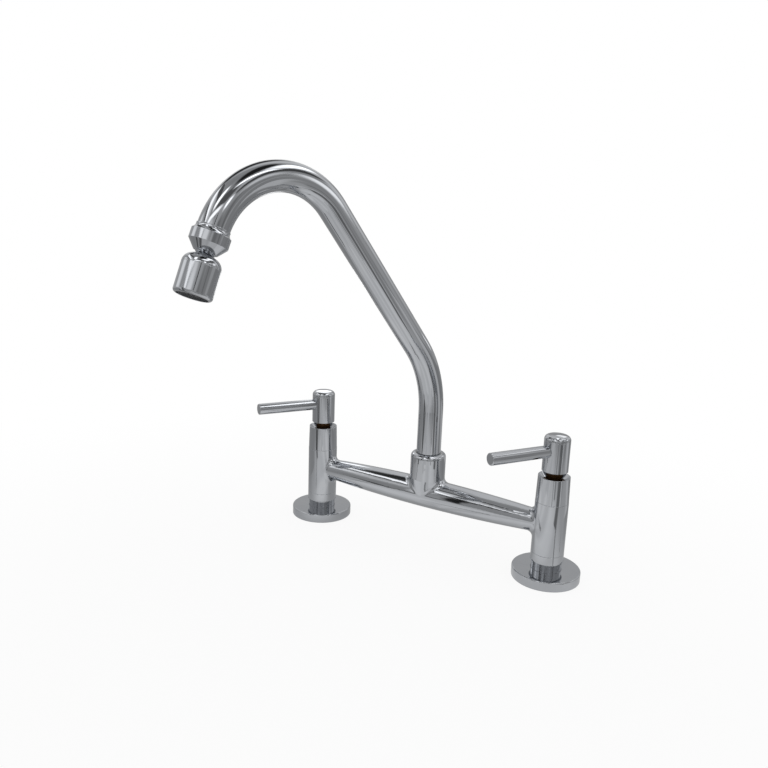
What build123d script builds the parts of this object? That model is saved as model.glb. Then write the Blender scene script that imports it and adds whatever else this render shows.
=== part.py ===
from build123d import *
import math
import os

# Deck-mounted bridge mixer for a kitchen sink, in millimetres.
# X runs along the bridge, -Y points to the user, Z is up and Z = 0 is the deck.
# The origin lies on the deck, midway between the two columns.

# --- bridge -----------------------------------------------------------------
inlet_spacing = 203.2          # centre to centre of the two deck holes
bridge_height = 41.4           # axis of the bar above the deck
bar_middle_radius = 11.5
bar_end_radius = 7.5           # on the column axis, inside the column
bar_bore_radius = 5.0
bar_fillet = 4.5               # cast fillet where the bar meets a column
column_radius = 12.0
column_rise = 17.8             # top of the column above the bar's axis
valve_seat_drop = 7.4          # valve seat below the bar's axis
valve_web = 3.0                # thickness of the wall that holds the valve seat
seat_port_radius = 6.0
valve_chamber_wall = 2.4

# --- boss that carries the spout ---------------------------------------------
boss_radius = 13.75
boss_root_radius = 11.2        # on the bar's axis
boss_flare_rise = 13.6         # above the bar's axis the boss becomes a plain cylinder here
boss_rise = 33.9               # top of the boss above the bar's axis
boss_shoulder = 3.1
boss_fillet = 5.0
spout_socket_depth = 25.3
spout_passage_radius = 7.0

# --- deck flange, foot and inlet thread --------------------------------------
flange_radius = 25.0
flange_height = 7.0
flange_wall = 2.0
flange_hub_wall = 2.4
flange_top_edge = 0.8
gasket_margin = 0.8
foot_height = 20.0             # seam between foot and column, above the deck
foot_band = 6.5                # full-width part of the foot under that seam
foot_neck_step = 1.0
foot_spigot_wall = 2.0         # wall of the column round the foot's spigot
foot_spigot_gap = 0.5          # end gap of the spigot under the valve seat
inlet_thread_radius = 9.3      # G 1/2 internal thread, minor radius
inlet_thread_depth = 14.0
inlet_thread_end = 2.0         # cone at the end of the thread

# --- bonnet sleeve ------------------------------------------------------------
sleeve_height = 19.1
sleeve_step = 0.08             # the sleeve's foot is this much smaller in radius than the column
sleeve_taper = 0.42
sleeve_wall = 0.7              # at the top
sleeve_mouth_depth = 3.3
sleeve_thread_length = 7.0
sleeve_rim_width = 0.6

# --- ceramic headwork ---------------------------------------------------------
headwork_skirt_wall = 1.3
headwork_skirt_lift = 1.0      # end gap of the skirt over the valve seat
headwork_thread_length = 9.2
headwork_flange_height = 2.0
washer_height = 0.8
headwork_hex_flats = 17.0
headwork_hex_height = 5.8
headwork_neck_radius = 8.0
headwork_neck_recess = 0.5     # top of the neck below the cone of the sleeve's mouth
headwork_nose_wall = 1.5
headwork_nose_rise = 3.1       # nose above the sleeve
window_width = 7.0
window_height = 5.6
disc_radius = 7.3
fixed_disc_height = 2.4
moving_disc_height = 3.0
port_outer_radius = 5.8
port_inner_radius = 1.5
port_half_angle = 42.0
seal_inner_radius = 4.6
seal_height = 3.6
tongue_width = 2.8
tongue_height = 1.0
tongue_inset = 0.5             # ends of the tongue inside the ports' reach

# --- spindle ------------------------------------------------------------------
spindle_radius = 4.2
spindle_foot_height = 3.0
spline_step = 0.4              # the splined end is this much smaller in radius
spline_length = 11.0
spline_teeth = 12
spline_groove = 0.5
spindle_ring_section = 0.55
spindle_ring_depths = (10.9, 15.4)   # below the top of the nose
clip_width = 0.9               # how far the clip stands out from the spindle
clip_height = 0.8
quarter_turn = 90.0

# --- handle -------------------------------------------------------------------
hub_radius = 9.4
hub_height = 22.4
hub_gap = 1.0                  # hub above the headwork's nose
hub_recess_wall = 2.8
hub_recess_depth = 1.6
hub_pocket_depth = 5.8         # pocket for the screw's head, under the cap
cap_height = 4.3
cap_edge_radius = 3.3
cap_crown_radius = 45.0
cap_spigot_wall = 3.0          # wall of the hub round the cap's spigot
cap_spigot_length = 2.8
lever_drop = 7.4               # axis of the lever below the cap's seam
lever_radius = 4.5
lever_reach = 56.8             # from the hub's axis to the tip
lever_seat_depth = 2.8
lever_stud_radius = 2.0
lever_stud_length = 2.4
lever_edge = 0.7
handle_screw_radius = 1.9
handle_screw_length = 12.0
handle_screw_end = 0.5         # end gap of the screw in the spindle
handle_screw_head_radius = 3.4
handle_screw_head_height = 2.4
handle_screw_socket = 3.0      # across the corners
lever_turn = -32.6             # closed handles point to the front, turned by this about Z

# --- spout --------------------------------------------------------------------
tube_radius = 9.5
tube_wall = 1.0
riser_length = 34.3            # straight tube above the boss
lower_bend_radius = 80.5
spout_lean = 40.2              # slope of the long straight run, from vertical
lean_length = 127.0
upper_bend_radius = 50.9
outlet_turn = 157.7            # direction of the outlet, from straight up
spout_swing = -16.2            # swing of the spout about Z in the rest position
tube_end_depth = 5.3           # end of the tube inside the boss
tailpiece_spigot = 10.0
spout_ring_section = 0.75
lower_ring_rise = 3.4          # above the floor of the socket
upper_ring_drop = 1.8          # below the guide bush
bush_wall = 0.7
bush_height = 6.6
bush_recess = 0.7              # bush below the top of the boss
retaining_screw_rise = 10.0    # above the floor of the socket
retaining_screw_radius = 2.0
retaining_screw_recess = 0.5
retaining_screw_socket = 2.0   # across the corners
retaining_groove_depth = 1.6

# --- outlet collar and ball joint, along the outlet axis from the tube's end --
collar_radius = 11.55
collar_lip = 1.0               # how far the collar laps back over the tube
collar_lip_wall = 0.35
collar_band_start = 2.6
collar_band_end = 8.5
collar_mouth = 13.9
collar_mouth_grip = 1.0        # the mouth is this much smaller in radius than the ball's socket
collar_mouth_wall = 0.5
collar_thread_step = 0.5       # thread of the collar outside the tube's bore
outlet_bush_thread = 3.0
outlet_bush_depth = 4.0
outlet_bush_gap = 0.25         # room for the curve of the tube
outlet_bush_bore = 6.4
ball_radius = 7.2
ball_clearance = 0.3
ball_neck_radius = 3.9
ball_bore_radius = 2.6
ball_seat_length = 3.1
ball_seat_gap = 0.1            # end gap of the seat under the outlet bush
aerator_tilt = 5.1             # rest position of the ball joint, off the collar's axis
aerator_heading = 97.9          # turn of that tilt about the collar's axis

# --- aerator, along its own axis from the ball's centre -----------------------
aerator_radius = 11.4
aerator_length = 24.2
aerator_dip = 1.3              # top of the housing below the top of the ball
aerator_flat_radius = 5.4      # flat part of the top, inside the rounded shoulder
aerator_cap_band = 0.2         # straight part of the cap between the shoulder and the seam
aerator_wall = 1.5
aerator_edge = 1.9
aerator_edge_land = 0.1        # flat part of the mouth's rim inside its rounded edge
aerator_cap_floor = 3.4
neck_proud = 0.2               # end of the ball's neck past the floor of the cap
insert_recess = 1.6
insert_height = 8.0
insert_hole_radius = 0.8
insert_ring_radii = (3.0, 5.6)
insert_ring_holes = 6          # in the inner ring, and twice as many in the outer one
screen_height = 1.2
aerator_washer_height = 2.7

# --- fits ---------------------------------------------------------------------
running_gap = 0.1              # radial gap of a shaft in its bearing
swing_gap = 0.3                # gap between curved parts that move past each other
thread_gap = 0.05              # radial gap of a screwed joint
cutter_end = 0.5               # run-out of a cutting tool past a face
edge_match = 0.01              # how near an edge lies to the place it is looked up by

# --- derived values ------------------------------------------------------------
half_spacing = inlet_spacing / 2

column_foot_z = foot_height
column_top_z = bridge_height + column_rise
valve_seat_z = bridge_height - valve_seat_drop
valve_chamber_radius = column_radius - valve_chamber_wall
foot_spigot_radius = column_radius - foot_spigot_wall
foot_spigot_top = valve_seat_z - valve_web - foot_spigot_gap
foot_neck_radius = column_radius - foot_neck_step
foot_neck_top = foot_height - foot_band

sleeve_top_z = column_top_z + sleeve_height
sleeve_bottom_radius = column_radius - sleeve_step
sleeve_top_radius = sleeve_bottom_radius - sleeve_taper
sleeve_bore_radius = sleeve_top_radius - sleeve_wall
sleeve_mouth_bottom = sleeve_top_z - sleeve_mouth_depth
sleeve_thread_bottom = sleeve_mouth_bottom - sleeve_thread_length

spindle_bore = spindle_radius + running_gap
headwork_skirt_bore = disc_radius + swing_gap
headwork_skirt_radius = headwork_skirt_bore + headwork_skirt_wall
headwork_skirt_bottom = valve_seat_z + headwork_skirt_lift
headwork_thread_bottom = column_top_z - headwork_thread_length
headwork_flange_radius = sleeve_bore_radius - 2 * running_gap
headwork_neck_top = sleeve_mouth_bottom - headwork_neck_recess
headwork_nose_radius = spindle_bore + headwork_nose_wall
headwork_nose_top = sleeve_top_z + headwork_nose_rise
washer_top = column_top_z + washer_height
headwork_hex_bottom = washer_top + headwork_flange_height

disc_face_z = valve_seat_z + seal_height
disc_joint_z = disc_face_z + fixed_disc_height
disc_top_z = disc_joint_z + moving_disc_height
spindle_foot_top = disc_top_z + spindle_foot_height
spindle_ring_heights = [headwork_nose_top - depth for depth in spindle_ring_depths]
clip_radius = spindle_radius + clip_width
clip_top = headwork_nose_top + clip_height
spline_radius = spindle_radius - spline_step
spline_bottom = clip_top + clip_height / 2
spline_top = spline_bottom + spline_length

hub_bottom_z = headwork_nose_top + hub_gap
cap_seam_z = hub_bottom_z + hub_height
hub_recess_radius = hub_radius - hub_recess_wall
hub_web_top = cap_seam_z - hub_pocket_depth
cap_spigot_radius = hub_radius - cap_spigot_wall
lever_height = cap_seam_z - lever_drop
lever_seat_radius = hub_radius - lever_seat_depth
lever_stud_end = lever_seat_radius - lever_stud_length

boss_flare_z = bridge_height + boss_flare_rise
boss_top_z = bridge_height + boss_rise
tube_bore = tube_radius - tube_wall
tube_end_z = boss_top_z - tube_end_depth
riser_top_z = boss_top_z + riser_length
spout_socket_radius = tube_radius + swing_gap
spout_socket_floor = boss_top_z - spout_socket_depth
bush_outer_radius = tube_radius + running_gap + bush_wall
bush_top = boss_top_z - bush_recess
bush_bottom = bush_top - bush_height
spout_ring_outer = spout_socket_radius - running_gap
spout_ring_heights = [spout_socket_floor + lower_ring_rise, bush_bottom - upper_ring_drop]
retaining_screw_z = spout_socket_floor + retaining_screw_rise

ball_socket_radius = ball_radius + ball_clearance
collar_thread_radius = tube_bore + collar_thread_step
collar_mouth_radius = ball_socket_radius - collar_mouth_grip
ball_offset = collar_mouth - math.sqrt(ball_socket_radius ** 2 - collar_mouth_radius ** 2)

aerator_top = ball_radius - aerator_dip
aerator_shoulder = aerator_radius - aerator_flat_radius
aerator_seam = aerator_top + aerator_shoulder + aerator_cap_band
aerator_bottom = aerator_top + aerator_length
aerator_bore = aerator_radius - aerator_wall
aerator_floor = aerator_top + aerator_cap_floor
insert_bottom = aerator_bottom - insert_recess
insert_top = insert_bottom - insert_height
screen_top = insert_top - screen_height
aerator_skirt_end = screen_top - aerator_washer_height

sides = {"left": -half_spacing, "right": half_spacing}


def turned(*outline):
    """A full turn about Z of a closed outline of (radius, height) points."""
    return revolve(make_face(Plane.XZ * Polyline(*outline, close=True)), Axis.Z)


def ring(inner, outer, bottom, top):
    """A plain ring, or a disc where the inner radius is zero."""
    return turned((inner, bottom), (outer, bottom), (outer, top), (inner, top))


def o_rings(radius, section, heights):
    """Round-section rings of one mean radius at the given heights."""
    return [Pos(0, 0, height) * Torus(radius, section) for height in heights]


def rims(shape, height, radius):
    """The circular edges of a turned part at one height and radius."""
    circles = shape.edges().filter_by(GeomType.CIRCLE)
    at_height = circles.filter_by_position(Axis.Z, height - edge_match, height + edge_match)
    return at_height.filter_by(lambda edge: abs(edge.radius - radius) < edge_match)


def spline_face(grow):
    """The grooved end of the spindle, grown all round by a gap for the hub's bore."""
    face = Sketch() + Circle(spline_radius + grow)
    for place in PolarLocations(spline_radius + grow, spline_teeth):
        face -= place * Circle(spline_groove - grow)
    return face


def port_face():
    """The two opposite sector ports of a ceramic disc."""
    reach = 2 * port_outer_radius
    spread = reach * math.tan(math.radians(port_half_angle))
    wedge = make_face(Polyline((0, 0), (reach, spread), (reach, -spread), close=True))
    sector = (Circle(port_outer_radius) - Circle(port_inner_radius)) & wedge
    return Sketch() + sector + Rot(0, 0, 180) * sector


# --- bridge -------------------------------------------------------------------

def bridge_body():
    """The one-piece casting: two columns, the swelling bar and the spout boss."""
    left_end = (-half_spacing, bar_end_radius)
    right_end = (half_spacing, bar_end_radius)
    bar_outline = (
        Line((-half_spacing, 0), left_end)
        + ThreePointArc(left_end, (0, bar_middle_radius), right_end)
        + Line(right_end, (half_spacing, 0))
        + Line((half_spacing, 0), (-half_spacing, 0))
    )
    bar = Pos(0, 0, bridge_height) * revolve(make_face(Plane.XZ * bar_outline), Axis.X)
    body = bar
    for x in sides.values():
        column = Pos(x, 0, 0) * ring(0, column_radius, column_foot_z, column_top_z)
        joined = body + column
        body = fillet(new_edges(body, column, combined=joined), bar_fillet)
    boss = turned(
        (0, bridge_height), (boss_root_radius, bridge_height), (boss_radius, boss_flare_z),
        (boss_radius, boss_top_z), (0, boss_top_z),
    )
    boss = fillet(rims(boss, boss_top_z, boss_radius), boss_shoulder)
    joined = body + boss
    body = fillet(new_edges(body, boss, combined=joined), boss_fillet)
    for x in sides.values():
        body -= Pos(x, 0, 0) * column_bores()
    body -= Pos(0, 0, bridge_height) * Rot(0, 90, 0) * Cylinder(bar_bore_radius, inlet_spacing)
    body -= ring(0, spout_passage_radius, bridge_height, spout_socket_floor + cutter_end)
    body -= ring(0, spout_socket_radius, spout_socket_floor, boss_top_z + cutter_end)
    body -= ring(0, bush_outer_radius, bush_bottom, boss_top_z + cutter_end)
    body -= retaining_screw_hole()
    return body


def column_bores():
    """Thread for the foot, valve seat port and valve chamber, on one axis."""
    web_bottom = valve_seat_z - valve_web
    return (
        ring(0, foot_spigot_radius, column_foot_z - cutter_end, web_bottom)
        + ring(0, seat_port_radius, column_foot_z, column_top_z)
        + ring(0, valve_chamber_radius, valve_seat_z, column_top_z + cutter_end)
    )


def retaining_screw_hole():
    """The tapped hole at the back of the boss."""
    depth = boss_radius
    return Pos(0, depth, retaining_screw_z) * Rot(90, 0, 0) * Cylinder(retaining_screw_radius, depth)


# --- foot of each column ---------------------------------------------------------

def inlet_foot():
    """Chromed foot with the inlet thread below and a screwed spigot above."""
    spigot = foot_spigot_radius - thread_gap
    cone_top = inlet_thread_depth + inlet_thread_end
    return turned(
        (inlet_thread_radius, 0), (foot_neck_radius, 0), (foot_neck_radius, foot_neck_top),
        (column_radius, foot_neck_top), (column_radius, column_foot_z), (spigot, column_foot_z),
        (spigot, foot_spigot_top), (seat_port_radius, foot_spigot_top), (seat_port_radius, cone_top),
        (inlet_thread_radius, inlet_thread_depth),
    )


def escutcheon():
    """Round cover on the deck: a turned shell, open below, round the foot."""
    hole = foot_neck_radius + running_gap
    shell = turned(
        (hole, 0), (hole + flange_hub_wall, 0), (hole + flange_hub_wall, flange_height - flange_wall),
        (flange_radius - flange_wall, flange_height - flange_wall), (flange_radius - flange_wall, 0),
        (flange_radius, 0), (flange_radius, flange_height), (hole, flange_height),
    )
    return fillet(rims(shell, flange_height, flange_radius), flange_top_edge)


def deck_gasket():
    """Soft ring that fills the hollow under the escutcheon and seals to the deck."""
    inner = foot_neck_radius + running_gap + flange_hub_wall + gasket_margin
    outer = flange_radius - flange_wall - gasket_margin
    return ring(inner, outer, 0, flange_height - flange_wall)


# --- headwork ---------------------------------------------------------------------

def headwork_body():
    """Brass headwork: slotted skirt, column thread, flange, hexagon, neck and nose."""
    thread = valve_chamber_radius - thread_gap
    body = turned(
        (headwork_skirt_bore, headwork_skirt_bottom), (headwork_skirt_radius, headwork_skirt_bottom),
        (headwork_skirt_radius, headwork_thread_bottom), (thread, headwork_thread_bottom),
        (thread, washer_top), (headwork_flange_radius, washer_top),
        (headwork_flange_radius, headwork_hex_bottom), (headwork_neck_radius, headwork_hex_bottom),
        (headwork_neck_radius, headwork_neck_top), (headwork_nose_radius, headwork_neck_top),
        (headwork_nose_radius, headwork_nose_top), (spindle_bore, headwork_nose_top),
        (spindle_bore, spindle_foot_top + running_gap), (headwork_skirt_bore, spindle_foot_top + running_gap),
    )
    hexagon = RegularPolygon(headwork_hex_flats / 2, 6, major_radius=False) - Circle(headwork_nose_radius)
    body += Pos(0, 0, headwork_hex_bottom) * extrude(hexagon, headwork_hex_height)
    window = Box(4 * headwork_skirt_radius, window_width, window_height)
    for turn in (0, 90):
        body -= Pos(0, 0, disc_joint_z + window_height / 2) * Rot(0, 0, turn) * window
    return body


def headwork_washer():
    """Fibre washer under the headwork's flange."""
    return ring(valve_chamber_radius, headwork_flange_radius, column_top_z, washer_top)


def seat_seal():
    """Rubber lip seal between the valve seat and the fixed disc."""
    return ring(seal_inner_radius, disc_radius, valve_seat_z, disc_face_z)


def fixed_disc():
    """Ceramic disc that stands still in the skirt."""
    disc = ring(0, disc_radius, disc_face_z, disc_joint_z)
    return disc - Pos(0, 0, disc_face_z) * extrude(port_face(), fixed_disc_height)


def moving_disc():
    """Ceramic disc that turns with the spindle, closed a quarter turn from the ports."""
    disc = ring(0, disc_radius - running_gap, disc_joint_z, disc_top_z)
    disc -= Pos(0, 0, disc_joint_z) * Rot(0, 0, quarter_turn) * extrude(port_face(), moving_disc_height)
    slot = Box(2 * disc_radius, tongue_width + 2 * thread_gap, tongue_height)
    return disc - Pos(0, 0, disc_top_z - tongue_height / 2) * slot


def spindle():
    """Brass spindle: driving foot with its tongue, grooved stem and splined end."""
    groove = spindle_radius - 2 * spindle_ring_section
    body = ring(0, disc_radius - running_gap, disc_top_z, spindle_foot_top)
    body += ring(0, spindle_radius, spindle_foot_top, spline_bottom)
    tongue = Box(2 * (port_outer_radius - tongue_inset), tongue_width, tongue_height)
    body += Pos(0, 0, disc_top_z - tongue_height / 2) * tongue
    for height in spindle_ring_heights:
        half = 1.2 * spindle_ring_section
        body -= ring(groove, spindle_radius + cutter_end, height - half, height + half)
    body -= ring(spindle_radius - clip_height, spindle_radius + cutter_end, headwork_nose_top, clip_top)
    body += Pos(0, 0, spline_bottom) * extrude(spline_face(0), spline_length)
    screw_depth = handle_screw_length - (hub_web_top - spline_top)
    hole_bottom = spline_top - screw_depth - handle_screw_end
    return body - ring(0, handle_screw_radius, hole_bottom, spline_top + cutter_end)


def spindle_clip():
    """Open spring clip that keeps the spindle in the headwork."""
    clip = ring(spindle_radius - clip_height, clip_radius, headwork_nose_top, clip_top)
    mouth = Box(2 * clip_radius, 1.2 * spindle_radius, 2 * clip_height)
    return clip - Pos(clip_radius, 0, headwork_nose_top + clip_height / 2) * mouth


def bonnet_sleeve():
    """Tapered chrome cover of the headwork, with a wide countersunk mouth."""
    neck = headwork_neck_radius + thread_gap
    return turned(
        (sleeve_bore_radius, column_top_z), (sleeve_bottom_radius, column_top_z),
        (sleeve_top_radius, sleeve_top_z), (sleeve_top_radius - sleeve_rim_width, sleeve_top_z),
        (neck, sleeve_mouth_bottom), (neck, sleeve_thread_bottom), (sleeve_bore_radius, sleeve_thread_bottom),
    )


# --- handle -------------------------------------------------------------------------

def handle_hub():
    """Round hub on the spindle, with the seat of the lever and a pocket for the screw."""
    hub = ring(0, hub_radius, hub_bottom_z, cap_seam_z)
    hub -= ring(0, hub_recess_radius, hub_bottom_z - cutter_end, hub_bottom_z + hub_recess_depth)
    hub -= Pos(0, 0, hub_bottom_z) * extrude(spline_face(thread_gap), spline_top - hub_bottom_z)
    hub -= ring(0, handle_screw_radius + running_gap, hub_bottom_z, cap_seam_z)
    hub -= ring(0, cap_spigot_radius, hub_web_top, cap_seam_z + cutter_end)
    seat = ring(0, lever_radius, lever_seat_radius, hub_radius + lever_seat_depth)
    stud = ring(0, lever_stud_radius, lever_stud_end, lever_seat_radius)
    return hub - Pos(0, 0, lever_height) * Rot(90, 0, 0) * (seat + stud)


def lever_rod():
    """Plain round rod with a flat tip, screwed into the side of the hub."""
    rod = ring(0, lever_radius - thread_gap, lever_seat_radius, lever_reach)
    rod = fillet(rims(rod, lever_reach, lever_radius - thread_gap), lever_edge)
    rod += ring(0, lever_stud_radius - thread_gap, lever_stud_end, lever_seat_radius)
    return Pos(0, 0, lever_height) * Rot(90, 0, 0) * rod


def handle_screw():
    """Screw on the hub's axis, under the cap."""
    shank = handle_screw_radius - thread_gap
    screw = turned(
        (0, hub_web_top - handle_screw_length), (shank, hub_web_top - handle_screw_length),
        (shank, hub_web_top), (handle_screw_head_radius, hub_web_top),
        (handle_screw_head_radius, hub_web_top + handle_screw_head_height),
        (0, hub_web_top + handle_screw_head_height),
    )
    socket = extrude(RegularPolygon(handle_screw_socket / 2, 6), handle_screw_head_height)
    return screw - Pos(0, 0, hub_web_top + handle_screw_head_height / 2) * socket


def hub_cap():
    """Slightly crowned cap with a rounded edge, pressed into the top of the hub."""
    top = cap_seam_z + cap_height
    inner = hub_radius - cap_edge_radius

    def crown(radius):
        return top - cap_crown_radius + math.sqrt(cap_crown_radius ** 2 - radius ** 2)

    outline = (
        Line((0, cap_seam_z), (hub_radius, cap_seam_z))
        + Line((hub_radius, cap_seam_z), (hub_radius, crown(inner) - cap_edge_radius))
        + TangentArc((hub_radius, crown(inner) - cap_edge_radius), (inner, crown(inner)), tangent=(0, 1))
        + ThreePointArc((inner, crown(inner)), (inner / 2, crown(inner / 2)), (0, top))
        + Line((0, top), (0, cap_seam_z))
    )
    cap = revolve(make_face(Plane.XZ * outline), Axis.Z)
    return cap + ring(0, cap_spigot_radius - thread_gap, cap_seam_z - cap_spigot_length, cap_seam_z)


# --- spout ----------------------------------------------------------------------------

def spout_route():
    """Centre line of the tube in the YZ plane: riser, bend, lean and the large hook."""
    riser = Line((0, tube_end_z), (0, riser_top_z))
    lower = JernArc(riser @ 1, riser % 1, lower_bend_radius, spout_lean)
    lean = Line(lower @ 1, lower @ 1 + (lower % 1) * lean_length)
    hook = JernArc(lean @ 1, lean % 1, upper_bend_radius, outlet_turn - spout_lean)
    return Plane.YZ * (riser + lower + lean + hook)


def outlet_frame():
    """Place of the tube's end: Z along the outlet axis, X across the spout."""
    route = Wire(spout_route().edges())
    return Plane(origin=route @ 1, x_dir=(1, 0, 0), z_dir=route % 1).location


def spout_tube():
    """Bent tube with an even wall."""
    section = Circle(tube_radius) - Circle(tube_bore)
    return sweep(Pos(0, 0, tube_end_z) * section, path=Wire(spout_route().edges()))


def spout_tailpiece():
    """Brass tail of the spout: ring grooves and the groove that the screw runs in."""
    groove = tube_radius - retaining_groove_depth
    half = retaining_screw_radius + swing_gap
    spigot_top = tube_end_z + tailpiece_spigot
    tail = turned(
        (spout_passage_radius, spout_socket_floor), (tube_radius, spout_socket_floor),
        (tube_radius, tube_end_z), (tube_bore - thread_gap, tube_end_z),
        (tube_bore - thread_gap, spigot_top), (spout_passage_radius, spigot_top),
    )
    tail -= ring(groove, tube_radius + cutter_end, retaining_screw_z - half, retaining_screw_z + half)
    ring_groove = spout_ring_outer - 2 * spout_ring_section
    for height in spout_ring_heights:
        half = 1.2 * spout_ring_section
        tail -= ring(ring_groove, tube_radius + cutter_end, height - half, height + half)
    return tail


def spout_guide_bush():
    """Plastic bush in the mouth of the boss."""
    return ring(tube_radius + running_gap, bush_outer_radius, bush_bottom, bush_top)


def retaining_screw():
    """Grub screw whose tip runs in the groove of the tailpiece."""
    tip = tube_radius - retaining_groove_depth + swing_gap
    head = boss_radius - retaining_screw_recess
    body = ring(0, retaining_screw_radius - thread_gap, tip, head)
    socket = extrude(RegularPolygon(retaining_screw_socket / 2, 6), retaining_screw_socket)
    body -= Pos(0, 0, head - retaining_screw_socket) * socket
    return Pos(0, 0, retaining_screw_z) * Rot(-90, 0, 0) * body


# --- outlet, drawn along the outlet axis ------------------------------------------------

def outlet_bush():
    """Brass bush in the tube's end, which the collar screws onto."""
    spigot = tube_bore - outlet_bush_gap
    thread = collar_thread_radius - thread_gap
    return turned(
        (outlet_bush_bore, -outlet_bush_depth), (spigot, -outlet_bush_depth), (spigot, 0), (thread, 0),
        (thread, outlet_bush_thread), (outlet_bush_bore, outlet_bush_thread),
    )


def outlet_collar():
    """Collar nut: coved lip, band, and a cone that closes round the ball."""
    lip_bore = tube_radius + running_gap
    lip_edge = (lip_bore + collar_lip_wall, -collar_lip)
    cove = (lip_bore + 2 * collar_lip_wall, collar_band_start / 2)
    band_top = (collar_radius, collar_band_start)
    band_bottom = (collar_radius, collar_band_end)
    mouth_edge = (collar_mouth_radius + collar_mouth_wall, collar_mouth)
    outline = (
        Polyline((lip_bore, 0), (lip_bore, -collar_lip), lip_edge)
        + ThreePointArc(lip_edge, cove, band_top)
        + Polyline(band_top, band_bottom, mouth_edge, (0, collar_mouth), (0, 0), (lip_bore, 0))
    )
    nut = revolve(make_face(Plane.XZ * outline), Axis.Z)
    nut -= ring(0, collar_thread_radius, -cutter_end, ball_offset - ball_socket_radius / 2)
    nut -= ring(0, ball_socket_radius, 0, ball_offset)
    return nut - Pos(0, 0, ball_offset) * Sphere(ball_socket_radius)


def ball_seat():
    """Plastic cup that turns with the ball inside the collar."""
    outer = collar_thread_radius - swing_gap
    start = outlet_bush_thread + ball_seat_gap
    cup = ring(ball_neck_radius, outer, start, start + ball_seat_length)
    return cup - Pos(0, 0, ball_offset) * Sphere(ball_socket_radius)


# --- aerator, drawn along its own axis from the ball's centre -----------------------------

def swivel_ball():
    """Hollow ball with the threaded neck that carries the aerator."""
    neck_end = aerator_floor + neck_proud
    ball = Sphere(ball_radius) + ring(0, ball_neck_radius, 0, neck_end)
    return ball - ring(0, ball_bore_radius, -ball_radius, neck_end + cutter_end)


def aerator_cap():
    """Upper half of the housing: rounded shoulder, neck thread and a skirt with thread."""
    skirt = aerator_bore - thread_gap
    cap = turned(
        (ball_neck_radius + thread_gap, aerator_top), (aerator_radius, aerator_top),
        (aerator_radius, aerator_seam), (skirt, aerator_seam), (skirt, aerator_skirt_end),
        (skirt - aerator_wall, aerator_skirt_end), (skirt - aerator_wall, aerator_floor),
        (ball_neck_radius + thread_gap, aerator_floor),
    )
    cap = fillet(rims(cap, aerator_top, aerator_radius), aerator_shoulder)
    return cap - Sphere(ball_radius + thread_gap)


def aerator_shell():
    """Lower half of the housing: a turned shell with an inward lip at its mouth."""
    lip_bore = aerator_radius - aerator_edge - aerator_edge_land
    shell = turned(
        (aerator_bore, aerator_seam), (aerator_radius, aerator_seam), (aerator_radius, aerator_bottom),
        (lip_bore, aerator_bottom), (lip_bore, insert_bottom), (aerator_bore, insert_bottom),
    )
    return fillet(rims(shell, aerator_bottom, aerator_radius), aerator_edge)


def jet_places():
    """Places of the jet holes, ring by ring."""
    places = []
    for number, radius in enumerate(insert_ring_radii, 1):
        places += PolarLocations(radius, number * insert_ring_holes)
    return places


def aerator_insert():
    """Moulded insert with rings of jet holes in its face."""
    outer = aerator_bore - running_gap
    insert = ring(0, outer, insert_top, insert_bottom)
    insert -= ring(0, outer - aerator_wall, insert_top - cutter_end, insert_bottom - 2 * aerator_wall)
    jet = ring(0, insert_hole_radius, insert_top, insert_bottom + cutter_end)
    insert -= jet
    for place in jet_places():
        insert -= place * jet
    return insert


def aerator_screen():
    """Round strainer in a rim, on top of the insert."""
    outer = aerator_bore - aerator_wall - 2 * running_gap
    screen = ring(0, outer, screen_top, insert_top)
    jet = ring(0, insert_hole_radius, screen_top - cutter_end, insert_top + cutter_end)
    for place in jet_places():
        screen -= place * jet
    return screen


def aerator_washer():
    """Rubber washer pressed between the cap's skirt and the insert."""
    outer = aerator_bore - running_gap
    return ring(outer - 2 * aerator_wall, outer, aerator_skirt_end, screen_top)


# --- assembly ---------------------------------------------------------------------------

column_pieces = {
    "inlet_foot": inlet_foot, "escutcheon": escutcheon, "deck_gasket": deck_gasket,
    "headwork_body": headwork_body, "headwork_washer": headwork_washer, "seat_seal": seat_seal,
    "fixed_ceramic_disc": fixed_disc, "bonnet_sleeve": bonnet_sleeve,
}
handle_pieces = {
    "moving_ceramic_disc": moving_disc, "spindle": spindle, "spindle_clip": spindle_clip,
    "handle_hub": handle_hub, "lever_rod": lever_rod, "handle_screw": handle_screw, "hub_cap": hub_cap,
}
outlet_pieces = {"outlet_bush": outlet_bush, "outlet_collar": outlet_collar, "ball_seat": ball_seat}
aerator_pieces = {
    "swivel_ball": swivel_ball, "aerator_cap": aerator_cap, "aerator_shell": aerator_shell,
    "aerator_insert": aerator_insert, "aerator_screen": aerator_screen, "aerator_washer": aerator_washer,
}


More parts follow.
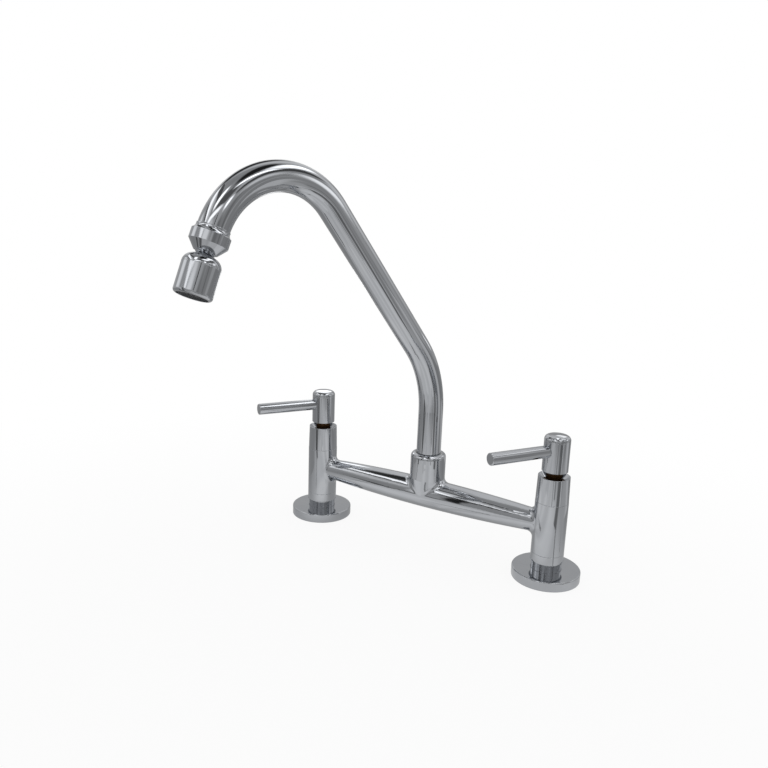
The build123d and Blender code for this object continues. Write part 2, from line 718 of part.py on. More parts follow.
def assemble():
    """Every piece by its name, in place."""
    pieces = {"bridge_body": bridge_body()}
    spindle_ring_radius = spindle_radius - spindle_ring_section
    spindle_rings = o_rings(spindle_ring_radius, spindle_ring_section, spindle_ring_heights)
    for side, x in sides.items():
        for name, make in column_pieces.items():
            pieces[f"{side}_{name}"] = Pos(x, 0, 0) * make()
        for name, make in handle_pieces.items():
            pieces[f"{side}_{name}"] = Pos(x, 0, 0) * Rot(0, 0, lever_turn) * make()
        pieces[f"{side}_spindle_o_rings"] = Compound(children=[Pos(x, 0, 0) * one for one in spindle_rings])
    swing = Rot(0, 0, spout_swing)
    outlet = swing * outlet_frame()
    aerator = outlet * Pos(0, 0, ball_offset) * Rot(0, 0, aerator_heading) * Rot(aerator_tilt, 0, 0)
    spout_ring_radius = spout_ring_outer - spout_ring_section
    spout_rings = o_rings(spout_ring_radius, spout_ring_section, spout_ring_heights)
    pieces["spout_tube"] = swing * spout_tube()
    pieces["spout_tailpiece"] = swing * spout_tailpiece()
    pieces["spout_o_rings"] = Compound(children=spout_rings)
    pieces["spout_guide_bush"] = spout_guide_bush()
    pieces["spout_retaining_screw"] = retaining_screw()
    for name, make in outlet_pieces.items():
        pieces[name] = outlet * make()
    for name, make in aerator_pieces.items():
        pieces[name] = aerator * make()
    for label, place in (("outlet", outlet), ("aerator", aerator)):
        axis = Plane(place).z_dir
        across = Plane(place).x_dir
        print(label, "origin", tuple(place.position), "axis", tuple(axis), "across", tuple(across))
    return pieces


os.makedirs("parts", exist_ok=True)
for name, piece in assemble().items():
    export_step(piece, f"parts/{name}.step")
    print(name, round(piece.volume, 1))
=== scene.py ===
import bmesh
import bpy
import math
from mathutils import Matrix, Vector

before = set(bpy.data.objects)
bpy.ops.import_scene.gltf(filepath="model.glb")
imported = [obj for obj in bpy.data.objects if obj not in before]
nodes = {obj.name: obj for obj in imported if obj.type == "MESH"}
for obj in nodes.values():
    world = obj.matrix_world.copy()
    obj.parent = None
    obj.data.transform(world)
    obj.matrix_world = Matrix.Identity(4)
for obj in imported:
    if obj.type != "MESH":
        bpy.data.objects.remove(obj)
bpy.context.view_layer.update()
print("frame loaded,", len(nodes), "pieces")


def linear(hexColour):
    # an sRGB hex value as the linear colour that the shaders take
    parts = [int(hexColour[i:i + 2], 16) / 255 for i in (1, 3, 5)]
    return [c / 12.92 if c <= 0.04045 else ((c + 0.055) / 1.055) ** 2.4 for c in parts] + [1.0]


def addNode(tree, kind, inputs=None, **settings):
    # adds one node, sets it up and fills its sockets with numbers or with other nodes' outputs
    node = tree.nodes.new(kind)
    for name, value in settings.items():
        setattr(node, name, value)
    for name, value in (inputs or {}).items():
        if isinstance(value, bpy.types.NodeSocket):
            tree.links.new(value, node.inputs[name])
        else:
            node.inputs[name].default_value = value
    return node


def newMaterial(name):
    material = bpy.data.materials.new(name)
    material.use_nodes = True
    material.node_tree.nodes.clear()
    return material, material.node_tree


def dress(material, *names):
    for name in names:
        nodes[name].data.materials.clear()
        nodes[name].data.materials.append(material)


def bothSides(*names):
    return [side + name for side in ("left_", "right_") for name in names]


mm = 0.001
columnX = 0.1016  # the two columns stand this far to each side of the middle
waveRepeat = 0.31  # a wave texture of scale 1 repeats over this length
noiseLow, noiseHigh = 0.3, 0.7  # a noise texture seldom leaves this range

# the camera stands where the photograph was taken from: to the right of the user, a little above the levers
view = {
    "position": (0.25239, -0.49630, 0.26065),
    "azimuth": 30.76,
    "elevation": 13.36,
    "roll": 2.12,
    "lens": 34.85,
}
azimuth, elevation, roll = (math.radians(view[name]) for name in ("azimuth", "elevation", "roll"))
back = Vector((math.sin(azimuth) * math.cos(elevation), -math.cos(azimuth) * math.cos(elevation), math.sin(elevation)))
level = Vector((math.cos(azimuth), math.sin(azimuth), 0))
upright = back.cross(level)
across = math.cos(roll) * level + math.sin(roll) * upright
upward = math.cos(roll) * upright - math.sin(roll) * level
cameraData = bpy.data.cameras.new("camera")
cameraData.lens = view["lens"]
cameraData.sensor_width = 36
camera = bpy.data.objects.new("camera", cameraData)
camera.matrix_world = Matrix.Translation(view["position"]) @ Matrix((across, upward, back)).transposed().to_4x4()
bpy.context.scene.collection.objects.link(camera)
bpy.context.scene.camera = camera
print("camera set")


# bright nickel-chrome plate on brass: a hard mirror, slightly cool and a little darker than silver.
# The buffing wheel leaves soft waves that bend the reflections, deeper where only a hand can reach, and
# wiping leaves faint duller clouds. The polish's own grain is too fine to show and is drawn coarser
def chromePlate(name, finish):
    material, tree = newMaterial(name)
    place = addNode(tree, "ShaderNodeTexCoord").outputs["Object"]
    buffed = addNode(tree, "ShaderNodeMapping", {"Vector": place, "Scale": finish["stretch"]}).outputs["Vector"]
    waves = addNode(tree, "ShaderNodeTexNoise", {
        "Vector": buffed, "Scale": 1 / finish["waveLength"], "Detail": 1.0, "Roughness": 0.4})
    fromHard = addNode(tree, "ShaderNodeVectorMath", {0: place, 1: finish["hardToReach"]}, operation="DISTANCE")
    handWork = addNode(tree, "ShaderNodeMapRange", {
        "Value": fromHard.outputs["Value"], "From Min": 0.5 * finish["handReach"], "From Max": finish["handReach"],
        "To Min": 1.0, "To Max": finish["wheelShare"]}, interpolation_type="SMOOTHSTEP")
    swell = addNode(tree, "ShaderNodeMath", {0: waves.outputs["Fac"], 1: handWork.outputs["Result"]},
                    operation="MULTIPLY")
    grain = addNode(tree, "ShaderNodeTexNoise", {
        "Vector": place, "Scale": 1 / finish["grainSize"], "Detail": 2.0, "Roughness": 0.6})
    clouds = addNode(tree, "ShaderNodeTexNoise", {
        "Vector": place, "Scale": 1 / finish["cloudSize"], "Detail": 4.0, "Roughness": 0.6, "Distortion": 0.4})
    rounded = addNode(tree, "ShaderNodeBevel", {"Radius": finish["edge"]}, samples=4).outputs["Normal"]
    wavy = addNode(tree, "ShaderNodeBump", {
        "Height": swell.outputs[0], "Distance": finish["waveHeight"], "Strength": 1.0, "Normal": rounded})
    fine = addNode(tree, "ShaderNodeBump", {
        "Height": grain.outputs["Fac"], "Distance": finish["grainHeight"], "Strength": 1.0,
        "Normal": wavy.outputs["Normal"]})
    tone = addNode(tree, "ShaderNodeMix", {
        "Factor": clouds.outputs["Fac"], "A": linear(finish["colour"]), "B": linear(finish["cloudColour"])},
        data_type="RGBA")
    rough = addNode(tree, "ShaderNodeMapRange", {
        "Value": clouds.outputs["Fac"], "From Min": finish["cloudStart"], "From Max": finish["cloudFull"],
        "To Min": finish["roughness"], "To Max": finish["cloudRoughness"]})
    shader = addNode(tree, "ShaderNodeBsdfPrincipled", {
        "Base Color": tone.outputs["Result"], "Metallic": 1.0, "Roughness": rough.outputs["Result"],
        "Normal": fine.outputs["Normal"]})
    addNode(tree, "ShaderNodeOutputMaterial", {"Surface": shader.outputs["BSDF"]})
    return material


castPlate = {
    "colour": "#BFC1C4", "cloudColour": "#B4B7BC", "roughness": 0.04, "cloudRoughness": 0.1,
    "waveLength": 9 * mm, "waveHeight": 0.2 * mm, "stretch": (0.5, 1, 1),
    "grainSize": 1.2 * mm, "grainHeight": 0.0006 * mm,
    "cloudSize": 22 * mm, "cloudStart": 0.45, "cloudFull": 0.8, "edge": 0.45 * mm,
    "hardToReach": (0.026, -0.012, 0.046), "handReach": 78 * mm, "wheelShare": 0.07,
}
tubePlate = dict(castPlate, wheelShare=1.0, waveLength=30 * mm, waveHeight=0.03 * mm, stretch=(1, 0.5, 0.5),
                 roughness=0.05, cloudSize=35 * mm, edge=0.2 * mm)
turnedPlate = dict(castPlate, wheelShare=1.0, waveLength=16 * mm, waveHeight=0.012 * mm, stretch=(1, 1, 0.5))
spunPlate = dict(turnedPlate, edge=0.8 * mm)
pressedPlate = dict(turnedPlate, waveLength=7 * mm, waveHeight=0.035 * mm, stretch=(1, 1, 1))
print("chrome ready")

dress(chromePlate("polishedChromeOnCastBrass", castPlate), "bridge_body")
dress(chromePlate("polishedChromeOnBentTube", tubePlate), "spout_tube")
dress(chromePlate("polishedChromeOnTurnedBrass", turnedPlate),
      *bothSides("inlet_foot", "bonnet_sleeve", "handle_hub", "lever_rod"),
      "outlet_collar", "swivel_ball", "aerator_cap", "aerator_shell")
dress(chromePlate("polishedChromeOnSpunCover", spunPlate), *bothSides("escutcheon"))
dress(chromePlate("polishedChromeOnPressedCap", pressedPlate), *bothSides("hub_cap"))


# turned brass, dark brown where water and handling have tarnished it, with fine rings from the tool, which
# are drawn a little coarser than they are so that they show
def turnedBrass(name, finish):
    material, tree = newMaterial(name)
    place = addNode(tree, "ShaderNodeTexCoord").outputs["Object"]
    stain = addNode(tree, "ShaderNodeTexNoise", {
        "Vector": place, "Scale": 1 / finish["stainSize"], "Detail": 5.0, "Roughness": 0.65})
    rings = addNode(tree, "ShaderNodeTexWave", {
        "Vector": place, "Scale": waveRepeat / finish["ringSpacing"], "Distortion": 0.4, "Detail": 1.0},
        wave_type="BANDS", bands_direction="Z")
    tone = addNode(tree, "ShaderNodeMix", {
        "Factor": stain.outputs["Fac"], "A": linear(finish["colour"]), "B": linear(finish["tarnish"])},
        data_type="RGBA")
    rough = addNode(tree, "ShaderNodeMapRange", {
        "Value": stain.outputs["Fac"], "To Min": finish["roughness"], "To Max": finish["tarnishRoughness"]})
    cut = addNode(tree, "ShaderNodeBump", {
        "Height": rings.outputs["Fac"], "Distance": finish["ringHeight"], "Strength": 1.0})
    shader = addNode(tree, "ShaderNodeBsdfPrincipled", {
        "Base Color": tone.outputs["Result"], "Metallic": 1.0, "Roughness": rough.outputs["Result"],
        "Normal": cut.outputs["Normal"]})
    addNode(tree, "ShaderNodeOutputMaterial", {"Surface": shader.outputs["BSDF"]})
    return material


brassFinish = {
    "colour": "#66492C", "tarnish": "#1E1610", "roughness": 0.3, "tarnishRoughness": 0.55,
    "stainSize": 5 * mm, "ringSpacing": 0.5 * mm, "ringHeight": 0.004 * mm,
}
dress(turnedBrass("turnedBrass", brassFinish),
      *bothSides("headwork_body", "spindle"), "spout_tailpiece", "outlet_bush")


unevenSheen = 0.06  # how far the roughness of a plain piece strays to either side


# moulded, pressed and ground pieces: one body colour with a mottle, and the finer grain that the making leaves
def plainBody(name, finish):
    material, tree = newMaterial(name)
    place = addNode(tree, "ShaderNodeTexCoord").outputs["Object"]
    mottle = addNode(tree, "ShaderNodeTexNoise", {
        "Vector": place, "Scale": 1 / finish["mottleSize"], "Detail": 4.0, "Roughness": 0.6})
    grain = addNode(tree, "ShaderNodeTexNoise", {
        "Vector": place, "Scale": 1 / finish["grainSize"], "Detail": 2.0, "Roughness": 0.5})
    tone = addNode(tree, "ShaderNodeMix", {
        "Factor": mottle.outputs["Fac"], "A": linear(finish["colour"]), "B": linear(finish["mottle"])},
        data_type="RGBA")
    rough = addNode(tree, "ShaderNodeMapRange", {
        "Value": grain.outputs["Fac"], "To Min": finish["roughness"] - unevenSheen,
        "To Max": finish["roughness"] + unevenSheen})
    bumps = addNode(tree, "ShaderNodeBump", {
        "Height": grain.outputs["Fac"], "Distance": finish["grainHeight"], "Strength": 1.0})
    shader = addNode(tree, "ShaderNodeBsdfPrincipled", {
        "Base Color": tone.outputs["Result"], "Metallic": finish["metallic"], "Roughness": rough.outputs["Result"],
        "Normal": bumps.outputs["Normal"]})
    addNode(tree, "ShaderNodeOutputMaterial", {"Surface": shader.outputs["BSDF"]})
    return material


# moulded dark acetal: low sheen, nearly black, with a paler haze of limescale
acetalInsert = {"colour": "#2B2B2D", "mottle": "#38383A", "roughness": 0.4, "metallic": 0.0,
                "mottleSize": 4 * mm, "grainSize": 0.4 * mm, "grainHeight": 0.01 * mm}
# moulded white acetal: waxy, with a soft sheen
acetalBush = {"colour": "#E4E3DE", "mottle": "#D6D4CD", "roughness": 0.35, "metallic": 0.0,
              "mottleSize": 6 * mm, "grainSize": 0.5 * mm, "grainHeight": 0.006 * mm}
# moulded nitrile rubber: matt and soft black
nitrile = {"colour": "#1F1F20", "mottle": "#2B2A2A", "roughness": 0.6, "metallic": 0.0,
           "mottleSize": 5 * mm, "grainSize": 0.3 * mm, "grainHeight": 0.012 * mm}
# pressed vulcanised fibre: dull red with short fibres
vulcanFibre = {"colour": "#8E3B2C", "mottle": "#A24A36", "roughness": 0.7, "metallic": 0.0,
               "mottleSize": 1 * mm, "grainSize": 0.25 * mm, "grainHeight": 0.015 * mm}
# lapped alumina: dense, off-white and nearly glossy
alumina = {"colour": "#ECEAE2", "mottle": "#E2DFD4", "roughness": 0.2, "metallic": 0.0,
           "mottleSize": 3 * mm, "grainSize": 0.2 * mm, "grainHeight": 0.001 * mm}
# plain stainless steel: grey and softly scratched
stainless = {"colour": "#A5A6A8", "mottle": "#8D8F92", "roughness": 0.3, "metallic": 1.0,
             "mottleSize": 3 * mm, "grainSize": 0.3 * mm, "grainHeight": 0.002 * mm}

dress(plainBody("mouldedDarkAcetal", acetalInsert), "aerator_insert")
dress(plainBody("mouldedWhiteAcetal", acetalBush), "spout_guide_bush", "ball_seat")
dress(plainBody("mouldedNitrileRubber", nitrile),
      *bothSides("deck_gasket", "seat_seal", "spindle_o_rings"), "spout_o_rings", "aerator_washer")
dress(plainBody("pressedFibre", vulcanFibre), *bothSides("headwork_washer"))
dress(plainBody("lappedAlumina", alumina), *bothSides("fixed_ceramic_disc", "moving_ceramic_disc"))
dress(plainBody("plainStainless", stainless),
      *bothSides("spindle_clip", "handle_screw"), "spout_retaining_screw", "aerator_screen")
print("pieces dressed")


# the world is white wherever it shows, by itself or in metal, and softer as a light
worldShown, worldCast = 1.0, 0.8
world = bpy.data.worlds.new("whiteStudio")
bpy.context.scene.world = world
world.use_nodes = True
world.node_tree.nodes.clear()


def seenDirectly(tree):
    # 1 for rays from the camera, a mirror or glass, 0 for light that falls on the object
    path = addNode(tree, "ShaderNodeLightPath").outputs
    both = addNode(tree, "ShaderNodeMath", {0: path["Is Camera Ray"], 1: path["Is Glossy Ray"]}, operation="MAXIMUM")
    return addNode(tree, "ShaderNodeMath", {0: both.outputs[0], 1: path["Is Transmission Ray"]},
                   operation="MAXIMUM").outputs[0]


whiteShown = addNode(world.node_tree, "ShaderNodeBackground", {"Color": linear("#FFFFFF"), "Strength": worldShown})
softLight = addNode(world.node_tree, "ShaderNodeBackground", {"Color": linear("#FFFFFF"), "Strength": worldCast})
worldMix = addNode(world.node_tree, "ShaderNodeMixShader", {
    0: seenDirectly(world.node_tree), 1: softLight.outputs[0], 2: whiteShown.outputs[0]})
addNode(world.node_tree, "ShaderNodeOutputWorld", {"Surface": worldMix.outputs[0]})


def placed(name, shape, material):
    # an object in the scene from a finished bmesh
    mesh = bpy.data.meshes.new(name)
    shape.to_mesh(mesh)
    shape.free()
    mesh.materials.append(material)
    piece = bpy.data.objects.new(name, mesh)
    bpy.context.scene.collection.objects.link(piece)
    return piece


# pale floor: it is white in the picture and keeps a trace of the shadow. In the chrome it darkens with
# distance, and broad faint rays run outward over it
floorFinish = {
    "radius": 6, "drop": 0.2 * mm, "middle": (0.04, -0.16, 0), "near": 0.08, "far": 0.32, "nearLevel": 0.81,
    "farLevel": 0.35, "share": 0.9, "shareStart": 0.15, "shareReach": 0.6, "rayScale": 1.8, "rayDepth": 0.3,
}
floorMaterial, floorTree = newMaterial("paleFloor")
paint = addNode(floorTree, "ShaderNodeBsdfDiffuse", {"Color": linear("#F2F2F2")})
floorPlace = addNode(floorTree, "ShaderNodeTexCoord").outputs["Object"]
floorReach = addNode(floorTree, "ShaderNodeVectorMath", {0: floorPlace, 1: floorFinish["middle"]},
                     operation="DISTANCE").outputs["Value"]
floorWay = addNode(floorTree, "ShaderNodeVectorMath", {0: floorPlace}, operation="NORMALIZE").outputs["Vector"]
floorRays = addNode(floorTree, "ShaderNodeTexNoise", {
    "Vector": floorWay, "Scale": floorFinish["rayScale"], "Detail": 1.0, "Roughness": 0.5}).outputs["Fac"]
floorFall = addNode(floorTree, "ShaderNodeMapRange", {
    "Value": floorReach, "From Min": floorFinish["near"], "From Max": floorFinish["far"],
    "To Min": floorFinish["nearLevel"], "To Max": floorFinish["farLevel"]}, interpolation_type="SMOOTHSTEP")
rayLevel = addNode(floorTree, "ShaderNodeMapRange", {
    "Value": floorRays, "From Min": noiseLow, "From Max": noiseHigh,
    "To Min": 1 - floorFinish["rayDepth"] / 2, "To Max": 1 + floorFinish["rayDepth"] / 2})
floorTone = addNode(floorTree, "ShaderNodeMath", {0: floorFall.outputs[0], 1: rayLevel.outputs[0]},
                    operation="MULTIPLY")
floorPath = addNode(floorTree, "ShaderNodeLightPath").outputs
floorLevel = addNode(floorTree, "ShaderNodeMix", {
    "Factor": floorPath["Is Camera Ray"], "A": floorTone.outputs[0], "B": 1.0})
shine = addNode(floorTree, "ShaderNodeEmission", {
    "Color": linear("#FFFFFF"), "Strength": floorLevel.outputs["Result"]})
shareByReach = addNode(floorTree, "ShaderNodeMapRange", {
    "Value": floorReach, "From Min": floorFinish["shareStart"], "From Max": floorFinish["shareReach"],
    "To Min": floorFinish["share"], "To Max": 1.0}, interpolation_type="SMOOTHSTEP")
floorShare = addNode(floorTree, "ShaderNodeMath", {0: seenDirectly(floorTree), 1: shareByReach.outputs[0]},
                     operation="MULTIPLY")
floorMix = addNode(floorTree, "ShaderNodeMixShader", {0: floorShare.outputs[0], 1: paint.outputs[0],
                                                     2: shine.outputs[0]})
addNode(floorTree, "ShaderNodeOutputMaterial", {"Surface": floorMix.outputs[0]})
floorShape = bmesh.new()
bmesh.ops.create_circle(floorShape, cap_ends=True, segments=96, radius=floorFinish["radius"])
floor = placed("floor", floorShape, floorMaterial)
floor.location.z = -floorFinish["drop"]


def facing(centre, heading, height, distance, lean):
    # a place on a ball round a centre, turned to face it; heading 0 is the front and 90 the right
    h, e = math.radians(heading), math.radians(height)
    way = Vector((math.sin(h) * math.cos(e), -math.cos(h) * math.cos(e), math.sin(e)))
    turn = way.to_track_quat("Z", "Y").to_matrix().to_4x4() @ Matrix.Rotation(math.radians(lean), 4, "Z")
    return Matrix.Translation(centre + way * distance) @ turn


def onlyInChrome(piece):
    piece.visible_camera = False
    piece.visible_diffuse = False
    piece.visible_shadow = False


# the grey room that the chrome reflects, with upright streaks like the things that stand in a workshop
room = {
    "centre": (-0.01, -0.06, 0.14), "reach": 2.2, "level": 0.48, "levelHeight": 0.2, "top": 0.4, "topHeight": 0.9,
    "streakScale": 2.2, "streakDepth": 0.4, "streakStretch": (1, 1, 0.3),
}
roomMaterial, roomTree = newMaterial("greyRoom")
roomPlace = addNode(roomTree, "ShaderNodeTexCoord").outputs["Object"]
roomWay = addNode(roomTree, "ShaderNodeVectorMath", {0: roomPlace}, operation="NORMALIZE").outputs["Vector"]
roomStretch = addNode(roomTree, "ShaderNodeVectorMath", {0: roomWay, 1: room["streakStretch"]},
                      operation="MULTIPLY")
roomStreaks = addNode(roomTree, "ShaderNodeTexNoise", {
    "Vector": roomStretch.outputs[0], "Scale": room["streakScale"], "Detail": 1.0, "Roughness": 0.5}).outputs["Fac"]
roomHeight = addNode(roomTree, "ShaderNodeSeparateXYZ", {"Vector": roomWay}).outputs["Z"]
roomLevel = addNode(roomTree, "ShaderNodeMapRange", {
    "Value": roomHeight, "From Min": room["levelHeight"], "From Max": room["topHeight"],
    "To Min": room["level"], "To Max": room["top"]})
streakLevel = addNode(roomTree, "ShaderNodeMapRange", {
    "Value": roomStreaks, "From Min": noiseLow, "From Max": noiseHigh,
    "To Min": 1 - room["streakDepth"] / 2, "To Max": 1 + room["streakDepth"] / 2})
roomTone = addNode(roomTree, "ShaderNodeMath", {0: roomLevel.outputs[0], 1: streakLevel.outputs[0]},
                   operation="MULTIPLY")
roomGlow = addNode(roomTree, "ShaderNodeEmission", {"Color": linear("#FFFFFF"), "Strength": roomTone.outputs[0]})
addNode(roomTree, "ShaderNodeOutputMaterial", {"Surface": roomGlow.outputs[0]})
roomShape = bmesh.new()
bmesh.ops.create_uvsphere(roomShape, u_segments=48, v_segments=24, radius=room["reach"])
roomPiece = placed("room", roomShape, roomMaterial)
roomPiece.location = room["centre"]
onlyInChrome(roomPiece)

# cards and softboxes that only the chrome sees, set out from the piece that they are for. Each has a heading,
# a height, a distance, a width and a depth in degrees, a lean, a brightness, and how much of it is a soft edge
hookPoint = Vector((-0.02, -0.11, 0.25))
hookCards = {
    "wallRight": (92, 5, 1.9, 46, 30, 0, 0.32, 0.4),
    "wallFrontRight": (66, 8, 1.88, 30, 30, 0, 0.24, 0.6),
    "wallBackRight": (160, 26, 1.86, 44, 56, 0, 0.78, 0.6),
    "ceiling": (100, 77, 1.0, 60, 32, 0, 0.02, 0.5),
    "darkFront": (37, 48, 0.95, 48, 28, 0, 0.13, 0.4),
    "darkBand": (110, 38, 0.93, 86, 18, 0, 0.08, 0.5),
    "darkLeft": (-115, 45, 0.4, 66, 40, 0, 0.04, 0.6),
    "stripFrontLeft": (-50, 43, 1.5, 86, 26, -8, 1.0, 0.7),
    "boxFront": (-3, 54, 0.9, 16, 32, 0, 2.4, 0.5),
    "stripFront": (16, 36, 0.88, 60, 10, 8, 2.0, 0.6),
    "lightRight": (97, 22, 0.86, 30, 17, 0, 0.9, 0.7),
    "stripRight": (84, 54, 0.84, 50, 10, -16, 2.8, 0.5),
    "stripBack": (136, 52, 0.82, 40, 9, 12, 1.1, 0.6),
    "boxBack": (125, 14, 0.8, 34, 18, 0, 1.6, 0.8),
    "spotRight": (64, 29, 0.78, 18, 15, 0, 2.4, 0.8),
    "wedge": (41, 24, 0.76, 5, 16, 0, 0.01, 0.5),
    "darkFrontLow": (24, 13, 0.74, 12, 5, 0, 0.04, 0.7),
    "lightLeft": (-62, 19, 0.72, 40, 26, 0, 1.15, 0.7),
    "lightFront": (12, 22, 0.7, 44, 24, 0, 1.1, 0.7),
}
bridgePoint = Vector((0.0, 0.0, 0.06))
bridgeCards = {
    "wallBackLeft": (-134, 46, 1.8, 76, 72, 0, 0.8, 0.45),
    "wallFrontLeft": (-36, 4, 0.7, 26, 26, 0, 0.36, 0.5),
    "darkLeftTop": (-42, 57, 1.2, 60, 8, 0, 0.12, 0.3),
    "stripLeft": (-52, 47, 1.15, 56, 8, -14, 1.9, 0.3),
    "darkLeftUnder": (-46, 40, 1.12, 40, 5, -12, 0.15, 0.3),
    "stripBackTop": (120, 62, 1.1, 80, 22, 0, 1.0, 0.8),
    "shelfLeft": (-38, 25, 0.72, 26, 14, 0, 0.75, 0.5),
    "stripMid": (-17, 35, 1.1, 24, 4, -8, 1.5, 0.3),
    "stripMidUnder": (-17, 28, 1.08, 26, 6, -8, 0.04, 0.4),
    "standLight": (-26, 13, 0.68, 4, 50, 0, 0.9, 0.6),
    "stand": (-18, 13, 0.66, 6, 52, 0, 0.02, 0.6),
    "standRight": (76, 12, 0.64, 9, 62, 0, 0.2, 0.8),
}
leftCapPoint = Vector((-columnX, 0.0, 0.125))
leftCapCards = {"windowLeft": (-144, 16, 0.12, 26, 24, 0, 2.4, 0.4)}
rightCapPoint = Vector((columnX, 0.0, 0.125))
rightCapCards = {"windowRight": (-168, 18, 0.16, 16, 11, 0, 1.5, 0.4)}
rightLeverPoint = Vector((0.075, 0.0, 0.105))
rightLeverCards = {"lightBackNear": (118, 50, 0.34, 50, 20, -14, 1.5, 0.95)}
leftLeverPoint = Vector((-0.14, 0.0, 0.105))
leftLeverCards = {"lightOverLeft": (108, 62, 0.5, 50, 16, 0, 2.6, 0.7)}
leftFootPoint = Vector((-columnX, 0.0, 0.003))
leftFootCards = {"lowScreenLeft": (-144, 23, 0.13, 64, 34, 0, 0.54, 0.2)}
rightFootPoint = Vector((columnX, 0.0, 0.003))
rightFootCards = {
    "lowScreenRight": (-163, 25, 0.13, 64, 34, 0, 0.54, 0.2),
    "footBar": (2, 12, 0.3, 8, 22, 0, 0.01, 0.5),
}


def glowWhere(tree, cover, brightness):
    # a plain glow where the cover is 1, clear where it is 0
    glow = addNode(tree, "ShaderNodeEmission", {"Color": linear("#FFFFFF"), "Strength": brightness})
    clear = addNode(tree, "ShaderNodeBsdfTransparent")
    mix = addNode(tree, "ShaderNodeMixShader", {0: cover.outputs[0], 1: clear.outputs[0], 2: glow.outputs[0]})
    addNode(tree, "ShaderNodeOutputMaterial", {"Surface": mix.outputs[0]})


def softCard(name, width, depth, brightness, soft):
    material, tree = newMaterial(name)
    place = addNode(tree, "ShaderNodeTexCoord").outputs["Object"]
    share = addNode(tree, "ShaderNodeVectorMath", {0: place, 1: (2 / width, 2 / depth, 1)}, operation="MULTIPLY")
    reach = addNode(tree, "ShaderNodeVectorMath", {0: share.outputs[0]}, operation="LENGTH").outputs["Value"]
    cover = addNode(tree, "ShaderNodeMapRange", {
        "Value": reach, "From Min": 1.0, "From Max": 1.0 - soft, "To Min": 0.0, "To Max": 1.0},
        interpolation_type="SMOOTHSTEP")
    glowWhere(tree, cover, brightness)
    shape = bmesh.new()
    bmesh.ops.create_grid(shape, x_segments=1, y_segments=1, size=0.5)
    bmesh.ops.scale(shape, vec=(width, depth, 1), verts=shape.verts)
    return placed(name, shape, material)


cardSets = (
    (hookPoint, hookCards), (bridgePoint, bridgeCards), (leftCapPoint, leftCapCards), (rightCapPoint, rightCapCards),
    (rightLeverPoint, rightLeverCards), (leftLeverPoint, leftLeverCards), (leftFootPoint, leftFootCards),
    (rightFootPoint, rightFootCards),
)
for centre, cards in cardSets:
    for name, (heading, height, distance, wide, deep, lean, brightness, soft) in cards.items():
        width = 2 * distance * math.tan(math.radians(wide / 2))
        depth = 2 * distance * math.tan(math.radians(deep / 2))
        card = softCard(name, width, depth, brightness, soft)
        card.matrix_world = facing(centre, heading, height, distance, lean)
        onlyInChrome(card)

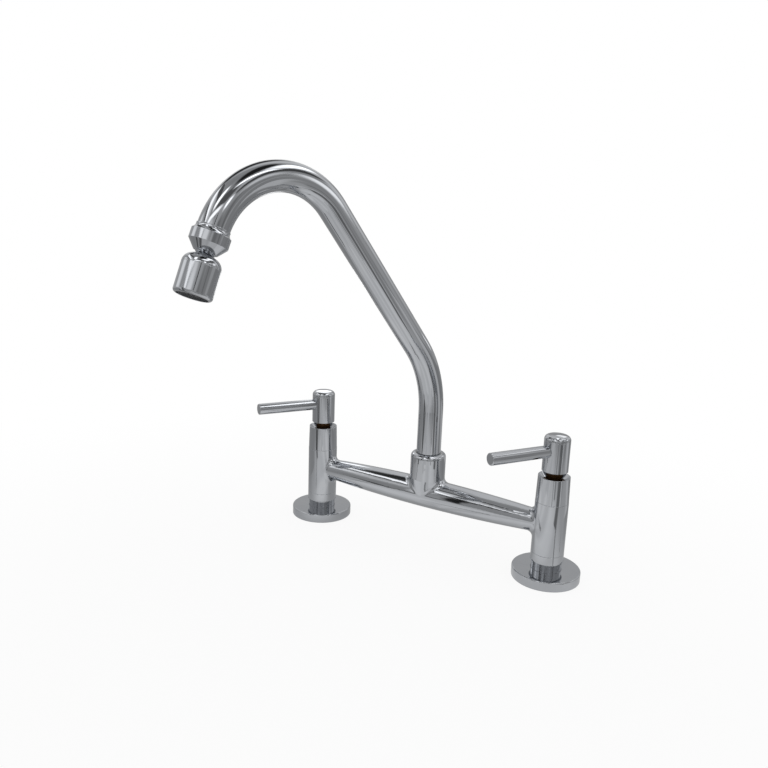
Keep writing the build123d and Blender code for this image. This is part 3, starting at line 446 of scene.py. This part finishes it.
# strips that run outward over the floor from a column or from the boss. They draw the upright lines in the
# chrome. Each has its centre's x, a heading, where it starts and ends, a width in degrees and a brightness
floorStrips = {
    "rightNearA": (columnX, 58, 0.035, 0.16, 5, 0.14),
    "rightNearB": (columnX, -124, 0.07, 0.3, 14, 0.3),
    "rightNearC": (columnX, 100, 0.06, 0.16, 7, 0.42),
    "rightFarA": (columnX, 51, 0.16, 1.1, 12, 0.26),
    "rightFarB": (columnX, 90, 0.16, 1.1, 7, 0.26),
    "rightFarC": (columnX, -76, 0.3, 1.1, 26, 0.36),
    "rightFarD": (columnX, 18, 0.16, 1.1, 8, 0.42),
    "rightFarE": (columnX, -26, 0.3, 1.1, 18, 0.6),
    "rightFarF": (columnX, 72, 0.16, 1.1, 8, 0.74),
    "rightFarG": (columnX, 31, 0.2, 0.42, 13, 0.33),
    "leftNearA": (-columnX, -12, 0.06, 0.2, 5, 0.3),
    "leftNearB": (-columnX, 60, 0.09, 0.16, 5, 0.3),
    "leftFarA": (-columnX, -12, 0.2, 1.1, 14, 0.15),
    "leftFarB": (-columnX, 70, 0.48, 1.1, 14, 0.14),
    "leftFarC": (-columnX, -62, 0.26, 1.1, 30, 0.34),
    "leftFarD": (-columnX, 24, 0.2, 1.1, 14, 0.66),
    "middleA": (0.0, -38, 0.2, 0.9, 10, 0.1),
    "middleB": (0.0, 69, 0.2, 0.9, 17, 0.19),
    "middleC": (0.0, 8, 0.2, 0.9, 14, 0.66),
    "middleD": (0.0, 112, 0.22, 0.9, 30, 0.66),
}
stripCore = 0.35  # the share of a strip's width that is at full brightness
# the strips lie one over another in this order, and the boards lie over them
stripLift, stripStep, boardLift = 0.1 * mm, 0.02 * mm, 0.6 * mm
# boards that lie on the floor: x, y, width, depth, brightness, softness
floorBoards = {
    "paleBoard": (0.29, 0.03, 0.3, 0.18, 0.5, 0.6),
    # painted shadow: this dark board under the bar stands in for the bar's shadow on the floor, as the chrome sees it
    "paintedBarShadowBoard": (0.0, 0.025, 0.36, 0.11, 0.44, 0.6),
    "leftPale": (-0.06, -0.06, 0.16, 0.09, 0.86, 0.7),
}


def stripMaterial(name, spread, brightness):
    material, tree = newMaterial(name)
    place = addNode(tree, "ShaderNodeTexCoord").outputs["Object"]
    parts = addNode(tree, "ShaderNodeSeparateXYZ", {"Vector": place}).outputs
    ratio = addNode(tree, "ShaderNodeMath", {0: parts["X"], 1: parts["Y"]}, operation="DIVIDE")
    side = addNode(tree, "ShaderNodeMath", {0: ratio.outputs[0]}, operation="ABSOLUTE")
    cover = addNode(tree, "ShaderNodeMapRange", {
        "Value": side.outputs[0], "From Min": spread, "From Max": stripCore * spread}, interpolation_type="SMOOTHSTEP")
    glowWhere(tree, cover, brightness)
    return material


for layer, (name, (x, heading, start, end, wide, brightness)) in enumerate(floorStrips.items()):
    spread = math.tan(math.radians(wide / 2))
    stripShape = bmesh.new()
    bmesh.ops.create_grid(stripShape, x_segments=1, y_segments=1, size=1)
    for vert in stripShape.verts:
        reach = end if vert.co.y > 0 else start
        vert.co = (math.copysign(reach * spread, vert.co.x), reach, 0)
    strip = placed(name, stripShape, stripMaterial(name, spread, brightness))
    strip.location = (x, 0, stripLift + stripStep * layer)
    strip.rotation_euler.z = math.radians(heading + 180)
    onlyInChrome(strip)

for name, (x, y, width, depth, brightness, soft) in floorBoards.items():
    board = softCard(name, width, depth, brightness, soft)
    board.location = (x, y, boardLift)
    onlyInChrome(board)
print("studio set")

bpy.context.scene.view_settings.view_transform = "Standard"
